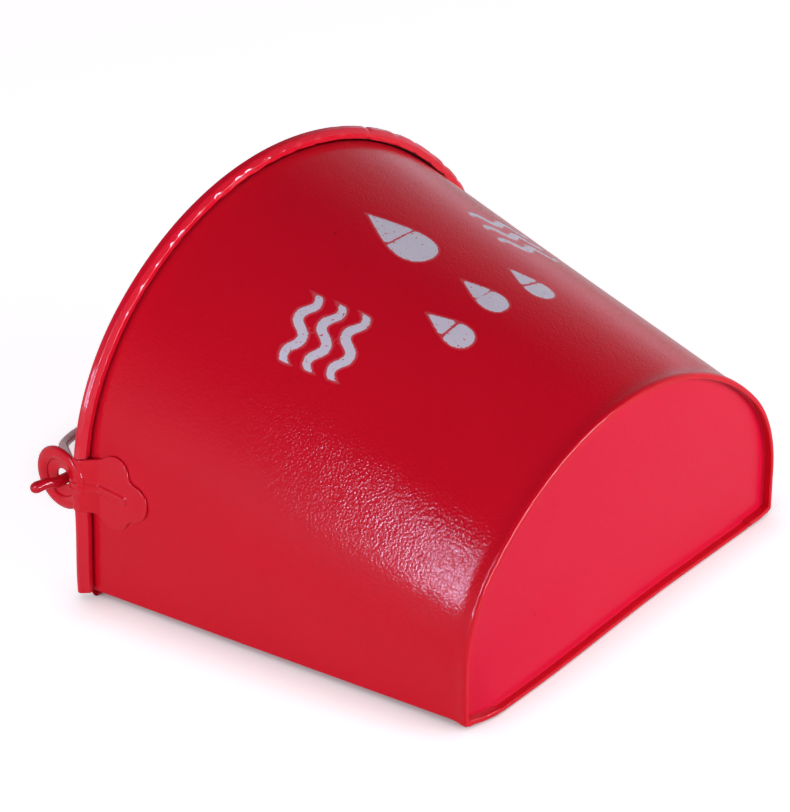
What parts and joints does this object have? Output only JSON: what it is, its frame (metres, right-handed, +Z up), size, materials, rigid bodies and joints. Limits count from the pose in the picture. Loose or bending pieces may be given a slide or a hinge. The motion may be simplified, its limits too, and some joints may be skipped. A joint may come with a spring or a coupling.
{
  "type": "fire bucket",
  "caption": "Flat-backed half-round sheet steel fire bucket with a wired rolled rim, pressed clover ears and a swinging bail of bent rod.",
  "frame": {"origin": "on the floor, under the middle of the outer box, with the bucket lying on its flat back and its bail lying on the floor", "axes": "+Z up out of the flat back, +Y out of the mouth, -Y out of the base, +X across the width"},
  "size_m": [0.3488, 0.3598, 0.1967],
  "materials": {
    "painted_sheet": "gloss red enamel with a fine orange peel",
    "painted_ear": "gloss red enamel, thick over the pressed plate",
    "painted_rod": "gloss red enamel, thin and worn at the hooks",
    "wire": "bare drawn wire"
  },
  "bodies": {
    "bucket": {"front_shell": "painted_sheet", "back_panel": "painted_sheet", "base_plate": "painted_sheet", "rim_wire": "wire", "ear_left": "painted_ear", "ear_right": "painted_ear"},
    "bail": {"bail": "painted_rod"}
  },
  "joints": [
    {"name": "bail_swing", "type": "hinge", "parent": "bucket", "child": "bail", "pos_m": [0, 0.04864, 0.0646], "axis": [1, 0, 0], "range_deg": [-67, 118]}
  ]
}
